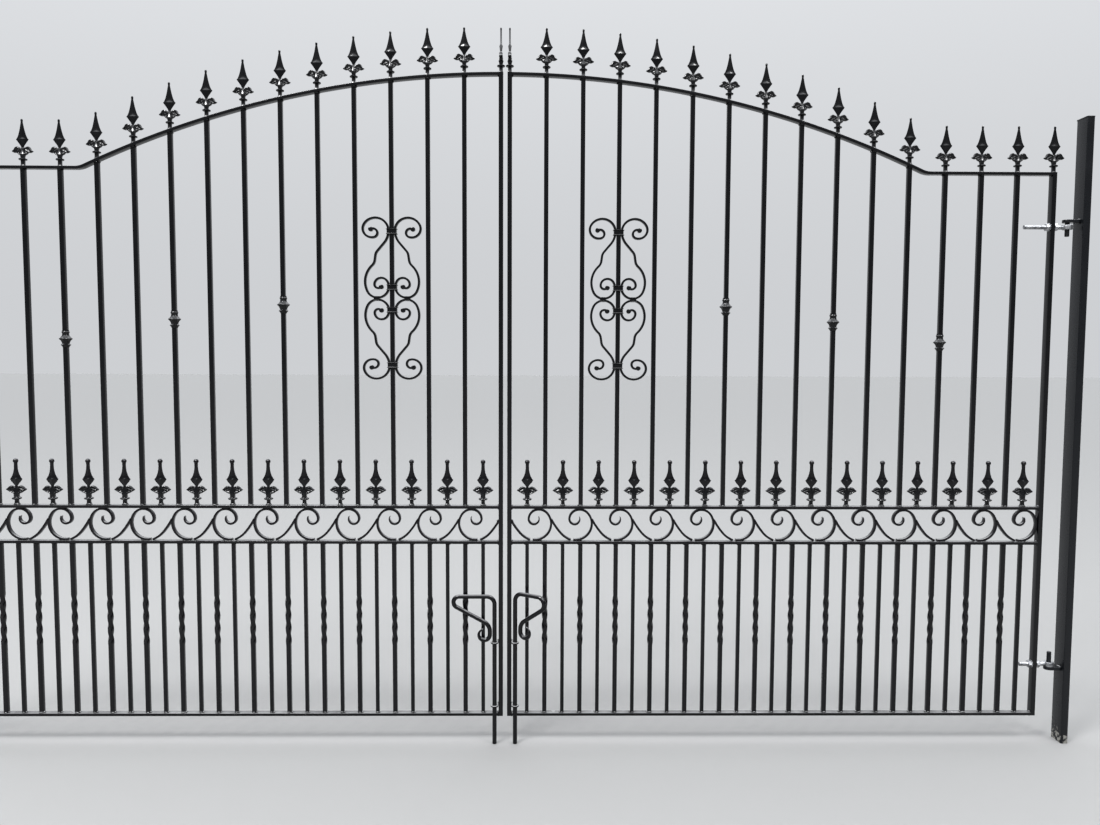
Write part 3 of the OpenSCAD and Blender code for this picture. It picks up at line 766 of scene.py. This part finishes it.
def bolt_guide(z):
    """A round bar along the stile, and then a circle round the bolt. The path is
    drawn upright and laid down by a quarter turn about X."""
    a = np.radians(np.arange(180.0, 512.0, 12.0))
    arm = np.array([[bolt_place[0] - guide_loop, guide_arm_end]])
    ring = bolt_place + guide_loop * np.stack([np.cos(a), np.sin(a)], 1)
    points, walls, caps = round_bar(np.concatenate([arm, ring]) * [1, -1], guide_bar / 2, 12)
    return points[:, [0, 2, 1]] * [1, -1, 1] + [0.0, 0.0, z], walls, caps


for side, hand in hands:
    piece(hand + "_guide_rings", hand + "_leaf", [bolt_guide(z) for z in guide_heights],
          guide_paint, [hand + "_bolt_guides"], side)

# Hooks welded to the posts carry the leaves: a flat plate with a round tongue and
# an upright pin. The upper one points down, so that the leaf can't be lifted off.
pin_x = hanging_x + 45.0
post_face_x = pin_x + 30.0
pin_radius = 6.0
eye_height = 13.0
hook_plate_size = (27.0, 8.0)
hinge_heights = {"top": 1460.0, "bottom": 224.0}
hook_gaps = {"top": 6.0, "bottom": 0.5}
hook_ways = {"top": -1, "bottom": 1}
pin_lengths = {"top": 42.0, "bottom": 47.0}


def plate_height(place):
    """Middle of a hook's plate: half the eye, the gap and half the plate away from
    the hinge's own height."""
    away = eye_height / 2 + hook_gaps[place] + hook_plate_size[1] / 2
    return hinge_heights[place] - hook_ways[place] * away


def hook_plate(z):
    """The plate's outline, half a circle round the pin and two corners on the
    post, at four heights, drawn in by half a millimetre above and below."""
    reach, thick = hook_plate_size[0] / 2, hook_plate_size[1] / 2
    a = np.radians(np.linspace(90.0, 270.0, 19))
    tongue = np.stack([reach * np.cos(a), reach * np.sin(a)], 1)
    outline = np.concatenate([[[post_face_x - pin_x, -reach], [post_face_x - pin_x, reach]], tongue])
    made = stacked(outline, [-thick, 0.8 - thick, thick - 0.8, thick], [0.965, 1.0, 1.0, 0.965])
    return skin(made + [pin_x, 0.0, z])


def hinge_pin(z, way, length):
    """A turned pin that grows from the plate, with its free end chamfered."""
    h = np.array([0.0, length - 2.0, length - 0.6, length])
    radii = pin_radius - np.array([0.0, 0.0, 0.6, 1.6])
    if way < 0:
        h, radii = -h[::-1], radii[::-1]
    points, walls, caps = turned(z + h, radii, 28)
    return points + [pin_x, 0.0, 0.0], walls, caps


for side, hand in hands:
    for place in hinge_heights:
        plate_z = plate_height(place)
        pin = hinge_pin(plate_z, hook_ways[place], pin_lengths[place])
        piece(hand + "_" + place + "_hook_and_pin", "posts", [hook_plate(plate_z), pin], post_paint,
              [hand + "_" + place + "_hinge_hook"], side)

# The eyes are zinc-plated. A threaded rod passes through the stile, held by a nut
# and washer on the outside and a nut inside, and ends in a ring round the pin.
rod_radius = 6.0
thread_pitch = 1.75
thread_depth = 0.6
nut_size = (19.0, 8.5)
washer_size = (11.5, 1.5)
eye_radii = (6.1, 13.5)
rod_tails = {"top": 70.0, "bottom": 35.0}
rod_past_nut = 4.0


def zinc_plate(name):
    """Dull plating: a grey metal whose colour and roughness drift with noise, and a
    fine grain of spangle in its height."""
    material = bpy.data.materials.new(name)
    material.use_nodes = True
    link = material.node_tree.links.new
    shader = material.node_tree.nodes["Principled BSDF"]
    place = add_node(material, "TexCoord")
    drift = add_node(material, "TexNoise", Scale=90.0, Detail=5.0)
    tone = add_node(material, "ValToRGB")
    dark, pale = tone.color_ramp.elements
    dark.position, dark.color = 0.32, (0.17, 0.175, 0.185, 1.0)
    pale.position, pale.color = 0.62, (0.44, 0.445, 0.455, 1.0)
    dull = add_node(material, "MapRange", To_Min=0.52, To_Max=0.26)
    grain = add_node(material, "TexNoise", Scale=900.0)
    bump = add_node(material, "Bump", Strength=0.3, Distance=0.0001)
    link(place.outputs["Object"], drift.inputs["Vector"])
    link(place.outputs["Object"], grain.inputs["Vector"])
    link(drift.outputs["Fac"], tone.inputs["Fac"])
    link(tone.outputs["Color"], shader.inputs["Base Color"])
    link(drift.outputs["Fac"], dull.inputs["Value"])
    link(dull.outputs["Result"], shader.inputs["Roughness"])
    link(grain.outputs["Fac"], bump.inputs["Height"])
    link(bump.outputs["Normal"], shader.inputs["Normal"])
    shader.inputs["Metallic"].default_value = 0.9
    return material


zinc = zinc_plate("zinc plate")


def laid(made, x, z):
    """A shape drawn upright, laid along X by a quarter turn about Y."""
    points, walls, caps = made
    return points[:, [2, 1, 0]] * [1, 1, -1] + [x, 0.0, z], walls, caps


def threaded(length):
    """A rod whose radius at height h and angle a falls by a triangle wave of
    h / pitch - a / 2 pi, which is a screw thread."""
    h = np.arange(0.0, length, thread_pitch / 5)[:, None]
    a = np.linspace(0.0, 2 * np.pi, 16, endpoint=False)[None, :]
    phase = (h / thread_pitch - a / (2 * np.pi)) % 1.0
    radius = rod_radius - thread_depth * np.abs(2 * phase - 1.0)
    return skin(np.stack([radius * np.cos(a), radius * np.sin(a), h + 0 * a], 2))


def nut(height):
    """A hexagon whose corners are cut by a cone above and below: at each angle the
    radius is the smaller one of the flat's and the cone's."""
    h = np.array([0.0, 0.5, 1.0, 1.6, height - 1.6, height - 1.0, height - 0.5, height])[:, None]
    a = np.linspace(0.0, 2 * np.pi, 48, endpoint=False)[None, :]
    flat = nut_size[0] / 2 / np.cos((a + np.pi / 6) % (np.pi / 3) - np.pi / 6)
    cone = nut_size[0] / 2 * 0.97 + 1.8 * np.minimum(h, height - h)
    radius = np.minimum(flat, cone)
    return skin(np.stack([radius * np.cos(a), radius * np.sin(a), h + 0 * a], 2))


def eye_ring(z):
    """A section with rounded corners, carried round the pin and joined to itself."""
    inner, outer = eye_radii
    section = rounded_ring(outer - inner, eye_height, 1.6, 3)
    turn = np.linspace(0.0, 2 * np.pi, 49)
    radius = (inner + outer) / 2 + section[None, :, 0]
    x = pin_x + radius * np.cos(turn)[:, None]
    y = radius * np.sin(turn)[:, None]
    height = z + np.broadcast_to(section[None, :, 1], x.shape)
    points, walls, caps = skin(np.stack([x, y, height], 2)[:, ::-1])
    count = len(section)
    walls = np.where(walls >= 48 * count, walls - 48 * count, walls)
    return points[:48 * count], walls, []


def hinge_eye(z, tail):
    """The threaded part, the smooth part, the ring, two nuts and two washers. The
    tail is the length of rod inside the stile."""
    inside, outside = hanging_x - half_stile, hanging_x + half_stile
    start = inside - tail
    nut_end = outside + washer_size[1] + nut_size[1]
    washer = turned([0.0, 0.3, washer_size[1] - 0.3, washer_size[1]],
                    np.array([0.97, 1.0, 1.0, 0.97]) * washer_size[0], 28)
    neck = pin_x - eye_radii[1] + 2.0
    smooth = turned([0.0, 1.0, neck - nut_end - rod_past_nut], [5.4, rod_radius, rod_radius], 20)
    return [laid(threaded(nut_end + rod_past_nut - start), start, z),
            laid(smooth, nut_end + rod_past_nut - 1.0, z),
            laid(nut(nut_size[1]), inside - washer_size[1] - nut_size[1], z),
            laid(nut(nut_size[1]), outside + washer_size[1], z),
            laid(washer, inside - washer_size[1], z), laid(washer, outside, z), eye_ring(z)]


for side, hand in hands:
    eyes = hinge_eye(hinge_heights["top"], rod_tails["top"])
    eyes += hinge_eye(hinge_heights["bottom"], rod_tails["bottom"])
    piece(hand + "_eye_bolts", hand + "_leaf", eyes, zinc, [hand + "_hinge_eyes"], side)

# Small lumps of weld show wherever two bars meet. They were painted over with
# the rest, and their upper sides are painted pale grey, partly dust and partly a
# painted highlight, so that their rounded backs show.
corner_weld = (2.6, 6.5, 2.6)
guide_weld = (2.2, 4.0, 1.8)
plate_weld = (2.8, 12.5, 2.2)
last_tail_z = 635.0
# The beads' paint turns pale grey on top: partly dust, partly a painted highlight.
weld_paint = black_paint("weld paint", (0.005, 0.0053, 0.006), 0.14, 1.2, 0.2, 1.5)
weld_draw = np.random.default_rng(7)


def bead(at, half_sizes):
    """A stretched ball: circles of latitude, each point's distance from the middle
    raised and lowered by two waves whose phases are drawn at random."""
    latitude = np.linspace(-0.46, 0.46, 6)[:, None] * np.pi
    a = np.linspace(0.0, 2 * np.pi, 9, endpoint=False)[None, :]
    phase = weld_draw.uniform(0.0, 2 * np.pi, 2)
    waves = 1 + 0.12 * np.sin(2 * a + phase[0]) + 0.10 * np.sin(3 * a + 4 * latitude + phase[1])
    spread = weld_draw.uniform(0.8, 1.15) * waves
    ball = np.stack([spread * np.cos(latitude) * np.cos(a), spread * np.cos(latitude) * np.sin(a),
                     spread * np.sin(latitude) + 0 * a], 2)
    return skin(np.array(at, float) + ball * np.array(half_sizes, float))


def foot_beads(x, z, half, way):
    """Two lumps where a bar meets a rail: a long one along its front and a round
    one in the corner on the near side. Way is 1 above a rail and -1 below one."""
    return [bead((x - half - 1.0, -1.5, z + way * 1.2), (2.5, 4.6, 2.2)),
            bead((x, -half - 1.0, z + way * 1.0), (half * 0.9, 2.0, 2.0))]


def leaf_welds():
    """The lumps at every bar's two ends, along the scrolls and in the corners."""
    half_main, half_thin = main_bar / 2, thin_bar / 2
    made = []
    for x, half in [(x, half_main) for x in even_bars] + [(x, half_thin) for x in odd_bars]:
        made += foot_beads(x, lower_foot, half, 1) + foot_beads(x, lower_top, half, -1)
    for x in even_bars:
        made += foot_beads(x, upper_foot, half_main, 1)
        made += foot_beads(x, float(arch_height(x)) - half_rail, half_main, -1)
    for x in odd_bars:
        made.append(bead((x - 6.5, -3.0, upper_foot + 1.0), (2.4, 3.4, 2.0)))
    for i in range(scroll_count):
        start = rail_end - i * scroll_pitch
        made.append(bead((start - 34.0, -3.5, lower_band_z + half_rail + 1.6), (4.5, 2.8, 1.8)))
        made.append(bead((start - 40.0, -3.5, upper_band_z - half_rail - 1.6), (4.0, 2.6, 1.6)))
    made.append(bead((rail_start + 2.0, -2.5, last_tail_z), (3.4, 4.4, 4.2)))
    for stile_side, way in ((rail_start, 1), (rail_end, -1)):
        for z in (bottom_rail_z, lower_band_z, upper_band_z):
            for step in (-1, 1):
                at = (stile_side + way, -2.0, z + step * (half_rail + 1.0))
                made.append(bead(at, corner_weld))
    made.append(bead((rail_end - 1.0, -2.0, shoulder_z - half_rail - 1.0), corner_weld))
    made.append(bead((rail_start + 1.0, -2.0, crown_z - half_rail - 1.0), corner_weld))
    for z in guide_heights:
        for step in (1, -1):
            made.append(bead((rail_start + 1.2, -1.0, z + step * 2.6), guide_weld))
    return made


def hook_welds():
    """A long lump above and below each hook's plate, where it meets the post."""
    made = []
    for place in hinge_heights:
        for step in (-1, 1):
            made.append(bead((post_face_x - 0.8, 0.0, plate_height(place) + step * 4.4), plate_weld))
    return made


for side, hand in hands:
    piece(hand + "_frame_welds", hand + "_leaf", leaf_welds(), weld_paint,
          [hand + "_bottom_rail"], side)
    piece(hand + "_hinge_welds", "posts", hook_welds(), weld_paint,
          [hand + "_top_hinge_hook"], side)

# A plain pale floor, large enough to reach the horizon. It is the stage, and not
# part of the gate.
floor_reach = 40.0
floor_corners = [(-floor_reach, -floor_reach, 0), (floor_reach, -floor_reach, 0),
                 (floor_reach, floor_reach, 0), (-floor_reach, floor_reach, 0)]
floor_paint = bpy.data.materials.new("floor")
floor_paint.use_nodes = True
floor_shader = floor_paint.node_tree.nodes["Principled BSDF"]
floor_shader.inputs["Base Color"].default_value = (0.20, 0.20, 0.198, 1.0)
floor_shader.inputs["Roughness"].default_value = 0.85
floor_mesh = bpy.data.meshes.new("floor")
floor_mesh.from_pydata(floor_corners, [], [(0, 1, 2, 3)])
floor_mesh.materials.append(floor_paint)
floor = bpy.data.objects.new("floor", floor_mesh)
bpy.context.scene.collection.objects.link(floor)

# Soft studio light: pale behind the gate and dim behind the viewer, so that the
# black fronts stay dark, with a bright band above that shines in the rails' tops.
sky = bpy.data.worlds.new("studio")
sky.use_nodes = True
sky_nodes, sky_links = sky.node_tree.nodes, sky.node_tree.links
direction = sky_nodes.new("ShaderNodeTexCoord")
axes = sky_nodes.new("ShaderNodeSeparateXYZ")
sky_links.new(direction.outputs["Generated"], axes.inputs["Vector"])


def sky_ramp(axis, start, end, low, high):
    """A soft step of the light along one axis of the direction looked in."""
    ramp = sky_nodes.new("ShaderNodeMapRange")
    ramp.interpolation_type = "SMOOTHSTEP"
    for name, value in (("From Min", start), ("From Max", end), ("To Min", low), ("To Max", high)):
        ramp.inputs[name].default_value = value
    sky_links.new(axes.outputs[axis], ramp.inputs["Value"])
    return ramp.outputs["Result"]


def combined(operation, one, other):
    """Two strengths of the sky added or multiplied."""
    node = sky_nodes.new("ShaderNodeMath")
    node.operation = operation
    sky_links.new(one, node.inputs[0])
    sky_links.new(other, node.inputs[1])
    return node.outputs["Value"]


backdrop = combined("ADD", sky_ramp("Y", -0.4, 0.8, 0.28, 0.56), sky_ramp("Z", 0.0, 0.9, 0.0, 0.30))
band = combined("MULTIPLY", sky_ramp("Z", 0.47, 0.62, 0.0, 1.0), sky_ramp("Y", -0.6, 0.6, 2.4, 2.0))
sky_links.new(combined("ADD", backdrop, band), sky_nodes["Background"].inputs["Strength"])
sky_nodes["Background"].inputs["Color"].default_value = (0.95, 0.97, 1.0, 1.0)
bpy.context.scene.world = sky
bpy.context.scene.view_settings.view_transform = "Standard"
bpy.context.scene.view_settings.look = "Medium High Contrast"

for name, place, turn, size, power in (
    ("key", (-4.2, -3.2, 6.4), (37.0, 0.0, -39.0), 1.8, 420.0),
    ("fill", (1.6, -2.6, 5.6), (36.0, 0.0, 46.0), 1.2, 90.0),
):
    lamp = bpy.data.lights.new(name, "AREA")
    lamp.size = size
    lamp.energy = power
    light = bpy.data.objects.new(name, lamp)
    light.location = place
    light.rotation_euler = [math.radians(v) for v in turn]
    bpy.context.scene.collection.objects.link(light)

# The camera stands and looks as the photograph's did. Its place was worked out
# from the bars and rails, and its lens from the photograph's width in pixels.
sensor_width = 36.0
focal_pixels = 890.0
photo_width = 1100.0
camera_place = (0.0946 - post_centre / 1000.0, -2.4798, 1.109)
pitch, yaw, roll = math.radians(3.872), math.radians(0.701), math.radians(0.234)
forward = Vector((math.sin(yaw) * math.cos(pitch), math.cos(yaw) * math.cos(pitch), -math.sin(pitch)))
across = Vector((math.cos(yaw), -math.sin(yaw), 0.0))
upwards = across.cross(forward)
right_hand = across * math.cos(roll) + upwards * math.sin(roll)
head_up = upwards * math.cos(roll) - across * math.sin(roll)
lens = bpy.data.cameras.new("camera")
lens.sensor_width = sensor_width
lens.lens = sensor_width * focal_pixels / photo_width
camera = bpy.data.objects.new("camera", lens)
facing = Matrix((right_hand, head_up, -forward)).transposed().to_4x4()
camera.matrix_world = Matrix.Translation(camera_place) @ facing
bpy.context.scene.collection.objects.link(camera)
bpy.context.scene.camera = camera
